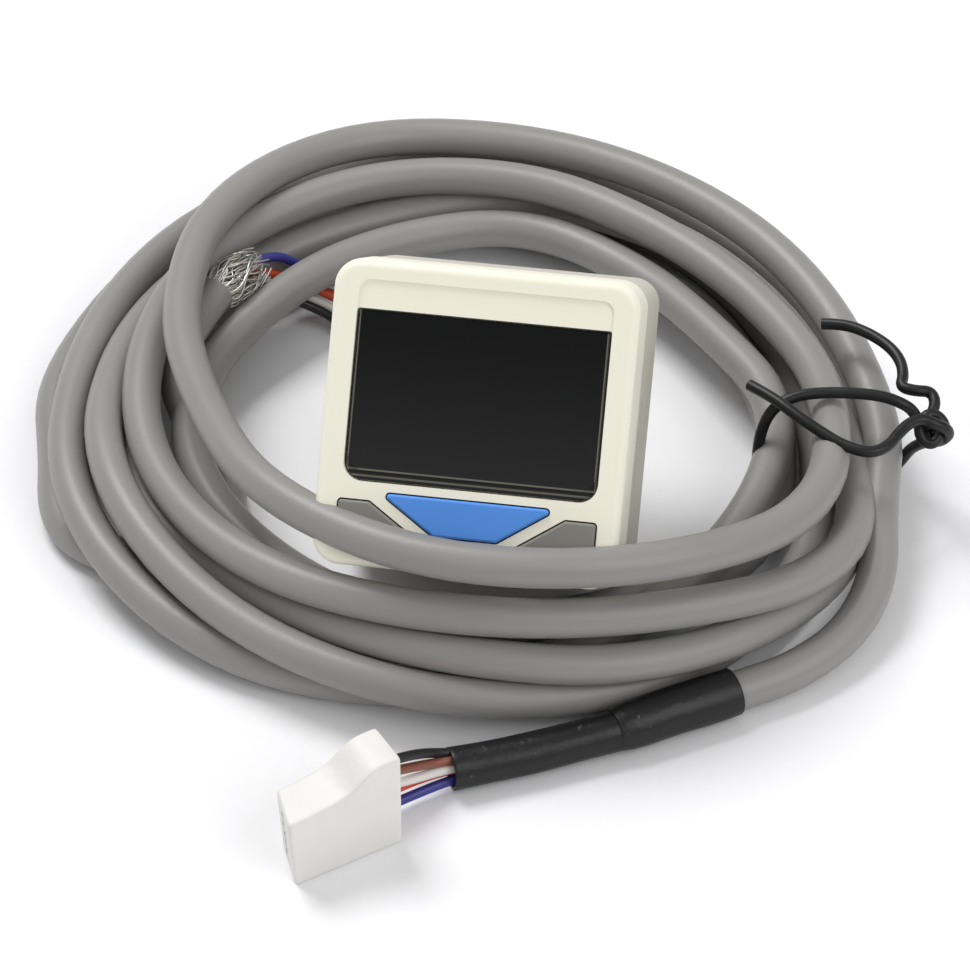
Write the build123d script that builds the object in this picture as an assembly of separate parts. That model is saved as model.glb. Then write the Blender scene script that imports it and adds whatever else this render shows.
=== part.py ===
from build123d import *
import math
import os

# Digital pressure switch with its coiled lead, in millimetres.
# The switch is drawn upright: X across the face, Y from the face towards the port, Z up the face.
# It is then leaned back on its lower rear edge, as it rests inside its own coiled lead.

# Case
FACE_WIDTH = 30.0
FACE_HEIGHT = 30.0
BODY_DEPTH = 25.0
CASE_CORNER = 2.8
FACE_EDGE_ROUND = 0.9
REAR_EDGE_ROUND = 0.7
BEZEL_DEPTH = 9.0
FACE_WALL = 2.2
CASE_WALL = 1.3
REAR_WALL = 1.8
PARTING_STEP = 0.15
LIP_LENGTH = 1.5
LIP_THICKNESS = 0.7
LEAN_BACK = 38.0

# Window and brow panel
WINDOW_WIDTH = 25.0
WINDOW_TOP_MARGIN = 4.8
WINDOW_FOOT = 8.35
WINDOW_TOP_CORNER = 0.3
WINDOW_FOOT_CORNER = 1.9
PANE_SUNK = 0.25
PANE_EDGE = 0.3
PANE_FOOT_EDGE = 1.1
RIM_SUNK = 0.7
RIM_THICKNESS = 0.95
LEDGE_WIDTH = 1.25
BROW_HEIGHT = 2.85
BROW_SUNK = 0.2
BROW_CORNER = 1.2

# Buttons
KEY_TOP = 7.55
KEY_FOOT = 3.5
KEY_SHOULDER = 0.7
SET_HALF_WIDTH = 8.1
KEY_SLANT = 34.0
KEY_RIB = 1.05
SIDE_KEY_TOP = 6.6
SIDE_KEY_FOOT = 1.8
SIDE_KEY_EDGE = 12.8
SIDE_KEY_INNER = 3.2
KEY_CORNER = 0.45
KEY_PROUD = 0.3
KEY_ROUND = 0.28
KEY_FLANGE = 0.4
KEY_FLANGE_THICKNESS = 0.6
KEY_TRAVEL = 0.3
KEY_STEM_RADIUS = 1.2

# Display stack and boards
GLASS_THICKNESS = 1.8
GUIDE_THICKNESS = 1.2
DISPLAY_MARGIN = 0.5
BOARD_THICKNESS = 1.0
DISPLAY_BOARD_AT = 6.2
MAIN_BOARD_AT = 14.0
PIN_WIDTH = 0.4
PINS_PER_ROW = 9
PIN_PITCH = 2.4
TACT_WIDTH = 3.4
TACT_HEIGHT = 1.8
PLUNGER_RADIUS = 0.85
CHIP_WIDTH = 7.0
CHIP_HEIGHT = 1.4
CHIP_EDGE = 0.25
CAP_RADIUS = 1.6
CAP_LENGTH = 3.2
HEADER_WIDTH = 12.0
HEADER_HEIGHT = 2.2

# Pressure port and sensor
PORT_HEIGHT = 15.0
PORT_HEX = 12.0
PORT_HEX_LENGTH = 4.0
PORT_THREAD_RADIUS = 4.86
PORT_THREAD_LENGTH = 8.0
PORT_TIP_CHAMFER = 0.7
PORT_BORE_RADIUS = 2.1
PORT_BORE_DEPTH = 8.0
PORT_PASSAGE_RADIUS = 0.6
PORT_SHANK_RADIUS = 5.0
PORT_SHANK_LENGTH = 5.5
SENSOR_RADIUS = 4.6
SEAL_RADIUS = 3.0
SEAL_SECTION = 0.6

# Rear connector and bracket threads
SOCKET_WIDTH = 8.0
SOCKET_HEIGHT = 5.2
SOCKET_DEPTH = 6.6
SOCKET_WALL = 0.7
SOCKET_RISE = 25.1
KEYWAY_WIDTH = 2.4
CONTACTS = 5
CONTACT_PITCH = 1.3
CONTACT_WIDTH = 0.5
CONTACT_LENGTH = 6.0
SOLDER_TAIL = 0.8
BRACKET_SPACING = 20.0
BRACKET_RISE = 6.0
INSERT_RADIUS = 2.2
INSERT_BORE = 1.25
INSERT_LENGTH = 5.0
BOSS_WALL = 1.0

# Snap hooks and the guide groove on the case sides
HOOK_RISE = 20.7
HOOK_WIDTH = 3.0
HOOK_THICKNESS = 0.8
HOOK_REACH = 2.6
BARB_HEIGHT = 1.2
BARB_WIDTH = 1.0
GROOVE_WIDTH = 2.6
GROOVE_SUNK = 0.35
GROOVE_TOP = 18.0
GROOVE_FROM_PARTING = 3.4

# Clearances
RUNNING_GAP = 0.15
SEAT_GAP = 0.1
COIL_GAP = 0.4

# Lead, sleeves and plug
CABLE_DIAMETER = 4.0
CORE_DIAMETER = 1.0
NARROW_SLEEVE_DIAMETER = 3.9
WIDE_SLEEVE_DIAMETER = 4.8
SLEEVE_OVERLAP = 1.5
PLUG_LENGTH = 12.0
PLUG_HEIGHT = 11.3
PLUG_NOSE_HEIGHT = 8.4
PLUG_THICKNESS = 4.8
PLUG_SHOULDER_AT = 2.6
PLUG_NOSE_AT = 6.6
PLUG_TAPER = 0.2
PLUG_ROUND = 0.9
PLUG_HEADING = 218.6
PLUG_ENTRY_DEPTH = 3.0
CORE_LEAD_OUT = 1.4
MOUTH_LEAD_OUT = 2.2
MOUTH_MARGIN = 0.15
PLUG_CONTACT_HEIGHT = 0.8
PLUG_CONTACT_WIDTH = 1.4
TIE_DIAMETER = 1.2

# Coil of the lead: its outer and inner rings on the floor
COIL_OUTER_RADIUS = 44.5
COIL_OUTER_CENTRE = (-4.5, 17.0)
COIL_INNER_RADIUS = 25.0
COIL_INNER_CENTRE = (-2.0, 11.5)
COIL_FRONT_HEIGHT = 19.8
COIL_BACK_HEIGHT = 12.0
COIL_FALL_FROM = -17.0
COIL_FALL_TO = 1.0
COIL_BEND = 18.0
COIL_EDGE_ROUND = 3.0

# Routes on the floor, chosen from the way the lead lies
SLEEVE_ROUTE = ((1.6, -33.2, 2.4), (15.9, -26.1, 2.4), (28.0, -18.2, 2.4))
LEAD_ROUTE = ((28.0, -18.2, 2.4), (33.2, -14.8, 2.4), (37.6, -9.4, 2.9), (39.6, -2.8, 4.4), (38.8, 4.6, 6.2))
PLUG_FOOT = (-3.5, -39.9)
STRIPPED_END = (-33.2, 25.4, 9.0)
STRIPPED_HEADING = (0.45, 0.88, -0.12)
BRAID_LENGTH = 7.5
BRAID_RADIUS = 2.3
BRAID_TIP_RADIUS = 1.5
BRAID_LEAD_OUT = 3.5
STRIPPED_ROOM = ((-34.0, 26.0), (-7.0, 39.5))
TIE_PLACE = 12.0
TIE_WAIST = (26.6, 41.0, 1.5, 12.6)
TIE_WAIST_WIDTH = 4.4
TIE_WAIST_ROUND = 4.5


def place_depth(sketch, start, end):
    """A profile seen from the front, given depth from start to end along Y."""
    return Pos(0, end, 0) * Rot(X=90) * extrude(sketch, amount=end - start)


def block(x0, x1, y0, y1, z0, z1):
    """A plain block between two corners."""
    return Pos((x0 + x1) / 2, (y0 + y1) / 2, (z0 + z1) / 2) * Box(x1 - x0, y1 - y0, z1 - z0)


def round_bar(radius, x, z, start, end):
    """A round bar along Y."""
    return Pos(x, (start + end) / 2, z) * Rot(X=90) * Cylinder(radius, end - start)


def case_outline(inset=0.0):
    """The square outline of the case, drawn in by an inset."""
    width = FACE_WIDTH - 2 * inset
    height = FACE_HEIGHT - 2 * inset
    corner = max(CASE_CORNER - inset, 0.3)
    return Pos(0, FACE_HEIGHT / 2) * RectangleRounded(width, height, corner)


WINDOW_TOP = FACE_HEIGHT - WINDOW_TOP_MARGIN
WINDOW_HEIGHT = WINDOW_TOP - WINDOW_FOOT
WINDOW_MIDDLE = (WINDOW_TOP + WINDOW_FOOT) / 2
LENS_BACK = RIM_SUNK + RIM_THICKNESS
GLASS_FRONT = FACE_WALL + SEAT_GAP
GLASS_BACK = GLASS_FRONT + GLASS_THICKNESS
PIN_FRONT = GLASS_FRONT + GLASS_THICKNESS / 3
TACT_FRONT = DISPLAY_BOARD_AT - TACT_HEIGHT
MAIN_BOARD_BACK = MAIN_BOARD_AT + BOARD_THICKNESS
SHANK_FRONT = BODY_DEPTH - PORT_SHANK_LENGTH
SLANT_RUN = 1.0 / math.tan(math.radians(KEY_SLANT))


def window_outline(inset=0.0, foot_inset=0.0):
    """The display window, with crisp top corners and rounder foot corners."""
    half = WINDOW_WIDTH / 2 - inset
    top = WINDOW_TOP - inset
    foot = WINDOW_FOOT + max(inset, foot_inset)
    outline = make_face(Polyline((-half, foot), (half, foot), (half, top), (-half, top), close=True))
    top_corners = outline.vertices().sort_by(Axis.Y)[2:]
    outline = fillet(top_corners, max(WINDOW_TOP_CORNER - inset, 0.1))
    foot_corners = outline.vertices().sort_by(Axis.Y)[:2]
    return fillet(foot_corners, max(WINDOW_FOOT_CORNER - inset, 0.3))


def brow_outline():
    """The shallow panel above the window, which shares its width."""
    half = WINDOW_WIDTH / 2
    top = WINDOW_TOP + BROW_HEIGHT
    outline = make_face(
        Polyline((-half, WINDOW_TOP - 1), (half, WINDOW_TOP - 1), (half, top), (-half, top), close=True)
    )
    return fillet(outline.vertices().sort_by(Axis.Y)[2:], BROW_CORNER)


def set_key_outline():
    """The wide middle button, with short upright ends and sides that slant inwards below them."""
    shoulder = KEY_TOP - KEY_SHOULDER
    foot_half = SET_HALF_WIDTH - (shoulder - KEY_FOOT) * SLANT_RUN
    corners = (
        (-SET_HALF_WIDTH, KEY_TOP),
        (SET_HALF_WIDTH, KEY_TOP),
        (SET_HALF_WIDTH, shoulder),
        (foot_half, KEY_FOOT),
        (-foot_half, KEY_FOOT),
        (-SET_HALF_WIDTH, shoulder),
    )
    outline = make_face(Polyline(*corners, close=True))
    return fillet(outline.vertices(), KEY_CORNER)


def side_key_outline(side):
    """A corner button whose inner edge runs parallel to the middle one, a rib's width away."""
    rib_run = KEY_RIB / math.sin(math.radians(KEY_SLANT))
    slant_top = SET_HALF_WIDTH + rib_run - (KEY_TOP - KEY_SHOULDER - SIDE_KEY_TOP) * SLANT_RUN
    slant_drop = (slant_top - SIDE_KEY_INNER) / SLANT_RUN
    slant_foot = max(SIDE_KEY_TOP - slant_drop, SIDE_KEY_FOOT + 0.8)
    slant_inner = slant_top - (SIDE_KEY_TOP - slant_foot) * SLANT_RUN
    corners = (
        (slant_top, SIDE_KEY_TOP),
        (SIDE_KEY_EDGE, SIDE_KEY_TOP),
        (SIDE_KEY_EDGE, SIDE_KEY_FOOT),
        (slant_inner, SIDE_KEY_FOOT),
        (slant_inner, slant_foot),
    )
    outline = make_face(Polyline(*[(side * x, z) for x, z in corners], close=True))
    return fillet(outline.vertices(), KEY_CORNER)


SET_STEM_RISE = (KEY_TOP + KEY_FOOT) / 2
SIDE_STEM_REACH = SIDE_KEY_EDGE - 3.0
SIDE_STEM_RISE = (SIDE_KEY_TOP + SIDE_KEY_FOOT) / 2
KEYS = {
    "set": (set_key_outline(), 0.0, SET_STEM_RISE),
    "up": (side_key_outline(1), SIDE_STEM_REACH, SIDE_STEM_RISE),
    "down": (side_key_outline(-1), -SIDE_STEM_REACH, SIDE_STEM_RISE),
}


def make_front_bezel():
    """Front half of the case: window frame, brow panel, button openings and two snap hooks."""
    bezel = place_depth(case_outline(), 0, BEZEL_DEPTH)
    front_edges = bezel.faces().sort_by(Axis.Y)[0].edges()
    bezel = fillet(front_edges, FACE_EDGE_ROUND)
    bezel -= place_depth(case_outline(CASE_WALL), FACE_WALL, BEZEL_DEPTH)
    bezel -= place_depth(brow_outline(), 0, BROW_SUNK)
    bezel -= place_depth(window_outline(), 0, LENS_BACK)
    bezel -= place_depth(window_outline(LEDGE_WIDTH), 0, FACE_WALL)
    for outline, _, _ in KEYS.values():
        bezel -= place_depth(outline, 0, FACE_WALL)
    inner = FACE_WIDTH / 2 - CASE_WALL
    for side in (-1, 1):
        outside = side * inner
        inside = side * (inner - HOOK_THICKNESS)
        x0, x1 = sorted((outside, inside))
        half = HOOK_WIDTH / 2
        hook = block(x0, x1, FACE_WALL, BEZEL_DEPTH + HOOK_REACH, HOOK_RISE - half, HOOK_RISE + half)
        barb_tip = side * (inner + CASE_WALL / 2)
        b0, b1 = sorted((inside, barb_tip))
        barb_end = BEZEL_DEPTH + HOOK_REACH
        half = BARB_WIDTH / 2
        barb = block(b0, b1, barb_end - BARB_HEIGHT, barb_end, HOOK_RISE - half, HOOK_RISE + half)
        bezel += hook + barb
    return bezel


def make_rear_body():
    """Rear half of the case: lip, port hole, socket opening, bracket bosses and guide grooves."""
    body = place_depth(case_outline(PARTING_STEP), BEZEL_DEPTH, BODY_DEPTH)
    rear_edges = body.faces().sort_by(Axis.Y)[-1].edges()
    body = fillet(rear_edges, REAR_EDGE_ROUND)
    lip_outline = case_outline(CASE_WALL + SEAT_GAP)
    body += place_depth(lip_outline, BEZEL_DEPTH - LIP_LENGTH, BEZEL_DEPTH + 1)
    hollow = case_outline(CASE_WALL + SEAT_GAP + LIP_THICKNESS)
    body -= place_depth(hollow, BEZEL_DEPTH - LIP_LENGTH, BEZEL_DEPTH + 1)
    body -= place_depth(case_outline(CASE_WALL + SEAT_GAP), BEZEL_DEPTH + 1, BODY_DEPTH - REAR_WALL)
    for side in (-1, 1):
        x = side * BRACKET_SPACING / 2
        boss_start = BODY_DEPTH - INSERT_LENGTH - BOSS_WALL
        boss = round_bar(INSERT_RADIUS + BOSS_WALL, x, BRACKET_RISE, boss_start, BODY_DEPTH)
        body += boss & place_depth(case_outline(PARTING_STEP), 0, BODY_DEPTH - REAR_WALL / 2)
        body -= round_bar(INSERT_RADIUS, x, BRACKET_RISE, BODY_DEPTH - INSERT_LENGTH, BODY_DEPTH + 1)
        wall_out = FACE_WIDTH / 2
        hook_slot = wall_out - CASE_WALL - HOOK_THICKNESS - RUNNING_GAP
        s0, s1 = sorted((side * hook_slot, side * (wall_out - CASE_WALL)))
        half = HOOK_WIDTH / 2 + RUNNING_GAP
        slot_end = BEZEL_DEPTH + HOOK_REACH + RUNNING_GAP
        body -= block(s0, s1, BEZEL_DEPTH - LIP_LENGTH, slot_end, HOOK_RISE - half, HOOK_RISE + half)
        w0, w1 = sorted((side * (wall_out - CASE_WALL - 1), side * (wall_out + 1)))
        window_foot = slot_end - BARB_HEIGHT - 2 * RUNNING_GAP
        half = BARB_WIDTH / 2 + RUNNING_GAP
        body -= block(w0, w1, window_foot, slot_end, HOOK_RISE - half, HOOK_RISE + half)
        g0, g1 = sorted((side * (wall_out - PARTING_STEP - GROOVE_SUNK), side * (wall_out + 1)))
        groove_start = BEZEL_DEPTH + GROOVE_FROM_PARTING
        body -= block(g0, g1, groove_start, groove_start + GROOVE_WIDTH, -1, GROOVE_TOP)
    body -= round_bar(PORT_SHANK_RADIUS + SEAT_GAP, 0, PORT_HEIGHT, 0, BODY_DEPTH + 1)
    opening = Pos(0, SOCKET_RISE) * Rectangle(
        SOCKET_WIDTH + 2 * (SOCKET_WALL + SEAT_GAP), SOCKET_HEIGHT + 2 * (SOCKET_WALL + SEAT_GAP)
    )
    body -= place_depth(opening, MAIN_BOARD_BACK, BODY_DEPTH + 1)
    return body


def make_display_window():
    """The tinted window: a rim seated against the ledge, and a pane that stands up from it."""
    rim = place_depth(window_outline(RUNNING_GAP), RIM_SUNK, LENS_BACK)
    pane = place_depth(window_outline(PANE_EDGE, PANE_FOOT_EDGE), PANE_SUNK, RIM_SUNK)
    return rim + pane


def display_block(start, end, margin):
    """A flat block of the display stack, a margin larger than the ledge opening."""
    half = WINDOW_WIDTH / 2 - LEDGE_WIDTH + margin
    rise = WINDOW_HEIGHT / 2 - LEDGE_WIDTH + margin
    return block(-half, half, start, end, WINDOW_MIDDLE - rise, WINDOW_MIDDLE + rise)


def make_display_pins():
    """Two rows of square pins from the glass to the display board."""
    rise = WINDOW_HEIGHT / 2 - LEDGE_WIDTH + DISPLAY_MARGIN + PIN_WIDTH / 2
    pins = []
    for row in (-1, 1):
        for index in range(PINS_PER_ROW):
            x = (index - (PINS_PER_ROW - 1) / 2) * PIN_PITCH
            z = WINDOW_MIDDLE + row * rise
            half = PIN_WIDTH / 2
            pins.append(block(x - half, x + half, PIN_FRONT, DISPLAY_BOARD_AT, z - half, z + half))
    return pins


def make_board(start, reach_in=0.0):
    """A circuit board that fills the case outline with a small gap."""
    return place_depth(case_outline(CASE_WALL + 2 * SEAT_GAP + reach_in), start, start + BOARD_THICKNESS)


def make_display_board():
    """Display board, notched at both sides for the snap hooks."""
    board = make_board(DISPLAY_BOARD_AT, SEAT_GAP)
    for side in (-1, 1):
        hook_inside = FACE_WIDTH / 2 - CASE_WALL - HOOK_THICKNESS - RUNNING_GAP
        x0, x1 = sorted((side * hook_inside, side * FACE_WIDTH / 2))
        half = HOOK_WIDTH / 2 + RUNNING_GAP
        board -= block(x0, x1, 0, BODY_DEPTH, HOOK_RISE - half, HOOK_RISE + half)
    return board


def make_key(name):
    """One button: cap, retaining flange and stem in one moulding."""
    outline, x, z = KEYS[name]
    cap_outline = offset(outline, amount=-RUNNING_GAP)
    flange_front = FACE_WALL + SEAT_GAP
    flange_back = flange_front + KEY_FLANGE_THICKNESS
    cap = place_depth(cap_outline, -KEY_PROUD, flange_front)
    cap = fillet(cap.faces().sort_by(Axis.Y)[0].edges(), KEY_ROUND)
    flange = place_depth(offset(outline, amount=KEY_FLANGE), flange_front, flange_back)
    case_room = place_depth(case_outline(CASE_WALL + RUNNING_GAP + KEY_TRAVEL), 0, BEZEL_DEPTH)
    glass_foot = WINDOW_FOOT + LEDGE_WIDTH - DISPLAY_MARGIN - PIN_WIDTH - RUNNING_GAP
    below_glass = block(-FACE_WIDTH, FACE_WIDTH, 0, BODY_DEPTH, -1, glass_foot)
    flange = flange & case_room & below_glass
    stem = round_bar(KEY_STEM_RADIUS, x, z, flange_back, TACT_FRONT - 2 * KEY_TRAVEL)
    return cap + flange + stem


def make_plunger(name):
    """The plunger of one button's switch, which the button's stem rests on."""
    _, x, z = KEYS[name]
    return round_bar(PLUNGER_RADIUS, x, z, TACT_FRONT - 2 * KEY_TRAVEL, TACT_FRONT + 2 * KEY_TRAVEL)


def make_tact_switches():
    """The three switch cases on the display board, each with a bore for its plunger."""
    cases = []
    for _, x, z in KEYS.values():
        half = TACT_WIDTH / 2
        case = block(x - half, x + half, TACT_FRONT, DISPLAY_BOARD_AT, z - half, z + half)
        case -= round_bar(PLUNGER_RADIUS + SEAT_GAP, x, z, TACT_FRONT - 1, TACT_FRONT + 4 * KEY_TRAVEL)
        cases.append(case)
    return cases


def make_board_header():
    """The pin strip that joins the two boards near the foot of the case."""
    half = HEADER_WIDTH / 2
    foot = BRACKET_RISE - HEADER_HEIGHT / 2
    start = DISPLAY_BOARD_AT + BOARD_THICKNESS
    strip = block(-half, half, start, MAIN_BOARD_AT, foot, foot + HEADER_HEIGHT)
    for index in range(5):
        x = (index - 2) * HEADER_WIDTH / 5
        strip -= block(x - 0.35, x + 0.35, start + 1, MAIN_BOARD_AT - 1, foot - 1, foot + 0.4)
    return strip


def make_controller_chip():
    """The flat controller package on the front of the main board."""
    half = CHIP_WIDTH / 2
    front = MAIN_BOARD_AT - CHIP_HEIGHT
    chip = block(-half, half, front, MAIN_BOARD_AT, PORT_HEIGHT - half, PORT_HEIGHT + half)
    return chamfer(chip.faces().sort_by(Axis.Y)[0].edges(), CHIP_EDGE)


def make_capacitors():
    """Three round capacitors standing on the main board."""
    reach = FACE_WIDTH / 2 - CASE_WALL - 3 * CAP_RADIUS
    spots = ((-reach, SOCKET_RISE - 3), (reach, SOCKET_RISE - 3), (reach, PORT_HEIGHT - 2))
    return [round_bar(CAP_RADIUS, x, z, MAIN_BOARD_AT - CAP_LENGTH, MAIN_BOARD_AT) for x, z in spots]


def make_port_fitting():
    """The metal port: shank, hexagon, outer thread, inner thread and pressure passage."""
    tip = BODY_DEPTH + PORT_HEX_LENGTH + PORT_THREAD_LENGTH
    hexagon = Pos(0, PORT_HEIGHT) * RegularPolygon(PORT_HEX / 2, 6, major_radius=False, rotation=0)
    fitting = place_depth(hexagon, BODY_DEPTH, BODY_DEPTH + PORT_HEX_LENGTH)
    fitting += round_bar(PORT_SHANK_RADIUS, 0, PORT_HEIGHT, SHANK_FRONT, BODY_DEPTH)
    thread = round_bar(PORT_THREAD_RADIUS, 0, PORT_HEIGHT, BODY_DEPTH + PORT_HEX_LENGTH, tip)
    thread = chamfer(thread.faces().sort_by(Axis.Y)[-1].edges(), PORT_TIP_CHAMFER)
    fitting += thread
    fitting -= round_bar(PORT_BORE_RADIUS, 0, PORT_HEIGHT, tip - PORT_BORE_DEPTH, tip + 1)
    fitting -= round_bar(PORT_PASSAGE_RADIUS, 0, PORT_HEIGHT, SHANK_FRONT - 1, tip)
    return fitting


def make_sensor_seal():
    """The seal ring squeezed between the port's shank and the sensor."""
    ring = Torus(SEAL_RADIUS, SEAL_SECTION / 2)
    return Pos(0, SHANK_FRONT - SEAL_SECTION / 2, PORT_HEIGHT) * Rot(X=90) * ring


def make_sensor_capsule():
    """The pressure sensor can, soldered to the main board and pressed on the seal."""
    end = SHANK_FRONT - SEAL_SECTION
    can = round_bar(SENSOR_RADIUS, 0, PORT_HEIGHT, MAIN_BOARD_BACK, end)
    return can - round_bar(PORT_PASSAGE_RADIUS, 0, PORT_HEIGHT, end - 1, end + 1)


def make_connector_header():
    """The keyed box of the rear socket, soldered to the main board."""
    half = SOCKET_WIDTH / 2
    wide = half + SOCKET_WALL
    foot = SOCKET_RISE - SOCKET_HEIGHT / 2
    top = SOCKET_RISE + SOCKET_HEIGHT / 2
    box = block(-wide, wide, MAIN_BOARD_BACK, BODY_DEPTH, foot - SOCKET_WALL, top + SOCKET_WALL)
    box -= block(-half, half, BODY_DEPTH - SOCKET_DEPTH, BODY_DEPTH + 1, foot, top)
    slot_edge = KEYWAY_WIDTH / 2
    slot_start = BODY_DEPTH - SOCKET_DEPTH / 2
    box -= block(-slot_edge, slot_edge, slot_start, BODY_DEPTH + 1, SOCKET_RISE, top + SOCKET_WALL / 2)
    for index in range(CONTACTS):
        x = (index - (CONTACTS - 1) / 2) * CONTACT_PITCH
        edge = CONTACT_WIDTH / 2
        box -= block(x - edge, x + edge, 0, BODY_DEPTH, SOCKET_RISE - edge, SOCKET_RISE + edge)
    return box


def make_connector_pins():
    """The five socket pins, through the main board and the header's floor."""
    pins = []
    for index in range(CONTACTS):
        x = (index - (CONTACTS - 1) / 2) * CONTACT_PITCH
        edge = CONTACT_WIDTH / 2
        start = MAIN_BOARD_AT - SOLDER_TAIL
        end = BODY_DEPTH - SOCKET_DEPTH / 3
        pins.append(block(x - edge, x + edge, start, end, SOCKET_RISE - edge, SOCKET_RISE + edge))
    return pins


def make_main_board():
    """Main board, drilled for the five socket pins."""
    board = make_board(MAIN_BOARD_AT, SEAT_GAP)
    for index in range(CONTACTS):
        x = (index - (CONTACTS - 1) / 2) * CONTACT_PITCH
        edge = CONTACT_WIDTH / 2
        board -= block(x - edge, x + edge, 0, BODY_DEPTH, SOCKET_RISE - edge, SOCKET_RISE + edge)
    return board


def make_bracket_inserts():
    """The two threaded metal inserts that take a bracket's screws."""
    inserts = []
    for side in (-1, 1):
        x = side * BRACKET_SPACING / 2
        insert = round_bar(INSERT_RADIUS, x, BRACKET_RISE, BODY_DEPTH - INSERT_LENGTH, BODY_DEPTH)
        insert -= round_bar(INSERT_BORE, x, BRACKET_RISE, BODY_DEPTH - INSERT_LENGTH - 1, BODY_DEPTH + 1)
        inserts.append(insert)
    return inserts


def soft_path(points):
    """Straight runs joined by tangent arcs, each as large as its two runs allow."""
    spots = [Vector(*point) for point in points]
    radii = []
    for before, here, after in zip(spots, spots[1:], spots[2:]):
        turn = math.radians((here - before).get_angle(after - here))
        shorter = min((here - before).length, (after - here).length)
        radii.append(0.45 * shorter / math.tan(turn / 2))
    print("arc radii", [round(radius, 1) for radius in radii])
    return FilletPolyline(*points, radius=radii)


def round_tube(points, diameter):
    """A plain round tube along a route of at least two points."""
    if len(points) == 2:
        path = Line(*points)
    else:
        path = soft_path(points)
    section = Plane(origin=path @ 0, z_dir=path % 0) * Circle(diameter / 2)
    return sweep(section, path=path)


def make_sleeves():
    """Two shrink sleeves, the wide one over the cable and the end of the narrow one."""
    tip, step, end = [Vector(*point) for point in SLEEVE_ROUTE]
    narrow_axis = (step - tip).normalized()
    narrow = round_tube((tip, step), NARROW_SLEEVE_DIAMETER)
    wide_axis = (end - step).normalized()
    wide_start = step - wide_axis * SLEEVE_OVERLAP
    wide = round_tube((wide_start, end), WIDE_SLEEVE_DIAMETER)
    wide -= round_tube((tip, step + narrow_axis * 0.5), NARROW_SLEEVE_DIAMETER)
    return narrow, wide


def plug_frame():
    """The plug stands on its narrow side, its wire end towards the sleeves."""
    heading = math.radians(PLUG_HEADING)
    along = (math.cos(heading), math.sin(heading), 0)
    return Plane(origin=(*PLUG_FOOT, 0), x_dir=along, z_dir=(math.sin(heading), -math.cos(heading), 0))


def make_plug_housing():
    """The white plug: a deep wire end that drops in an S-curve to a lower nose with five contact holes."""
    plane = plug_frame()
    shoulder = (PLUG_SHOULDER_AT, PLUG_HEIGHT - PLUG_TAPER)
    nose = (PLUG_NOSE_AT, PLUG_NOSE_HEIGHT + PLUG_TAPER)
    outline = [
        Line((0, 0), (PLUG_LENGTH, 0)),
        Line((PLUG_LENGTH, 0), (PLUG_LENGTH, PLUG_NOSE_HEIGHT)),
        Line((PLUG_LENGTH, PLUG_NOSE_HEIGHT), nose),
        Spline(nose, shoulder, tangents=((-1, 0.1), (-1, 0.1))),
        Line(shoulder, (0, PLUG_HEIGHT)),
        Line((0, PLUG_HEIGHT), (0, 0)),
    ]
    profile = plane * make_face(outline)
    housing = extrude(profile, amount=PLUG_THICKNESS / 2, both=True)
    housing = fillet(housing.edges().filter_by(GeomType.LINE), PLUG_ROUND)
    for rise in plug_rises():
        hole_length = PLUG_LENGTH - PLUG_ENTRY_DEPTH
        hole = Box(hole_length, PLUG_CONTACT_HEIGHT + SEAT_GAP, PLUG_CONTACT_WIDTH + 2 * SEAT_GAP)
        housing -= plane * Pos(PLUG_LENGTH - hole_length / 2, rise, 0) * hole
        entry = Box(PLUG_ENTRY_DEPTH, CORE_DIAMETER + SEAT_GAP, CORE_DIAMETER + SEAT_GAP)
        housing -= plane * Pos(PLUG_ENTRY_DEPTH / 2, rise, 0) * entry
    return housing


def plug_rises():
    """Heights of the five contacts above the floor."""
    return [PLUG_NOSE_HEIGHT / 2 + (index - (CONTACTS - 1) / 2) * CONTACT_PITCH for index in range(CONTACTS)]


def make_plug_contacts():
    """Five folded metal contacts inside the plug."""
    plane = plug_frame()
    contacts = []
    for rise in plug_rises():
        contact = Box(CONTACT_LENGTH, PLUG_CONTACT_HEIGHT, PLUG_CONTACT_WIDTH)
        contacts.append(plane * Pos(PLUG_ENTRY_DEPTH + CONTACT_LENGTH / 2, rise, 0) * contact)
    return contacts


# Angles round the sleeve's mouth for the cores, from the lowest contact up, so that none cross
MOUTH_ANGLES = (318, 42, 100, 238, 180)


def make_core_in_plug(index):
    """One insulated core from the narrow sleeve's mouth into the plug."""
    plane = plug_frame()
    inside = plane.from_local_coords((PLUG_ENTRY_DEPTH - SEAT_GAP, plug_rises()[index], 0))
    mouth = plane.from_local_coords((-CORE_LEAD_OUT, plug_rises()[index], 0))
    tip, step, _ = [Vector(*point) for point in SLEEVE_ROUTE]
    axis = (step - tip).normalized()
    across = Vector(-axis.Y, axis.X, 0)
    ring = math.radians(MOUTH_ANGLES[index])
    spread = NARROW_SLEEVE_DIAMETER / 2 - CORE_DIAMETER / 2 - MOUTH_MARGIN
    start = tip + across * (spread * math.sin(ring)) + Vector(0, 0, -spread * math.cos(ring))
    ahead = start - axis * MOUTH_LEAD_OUT
    return round_tube((start, ahead, mouth, inside), CORE_DIAMETER)


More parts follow.
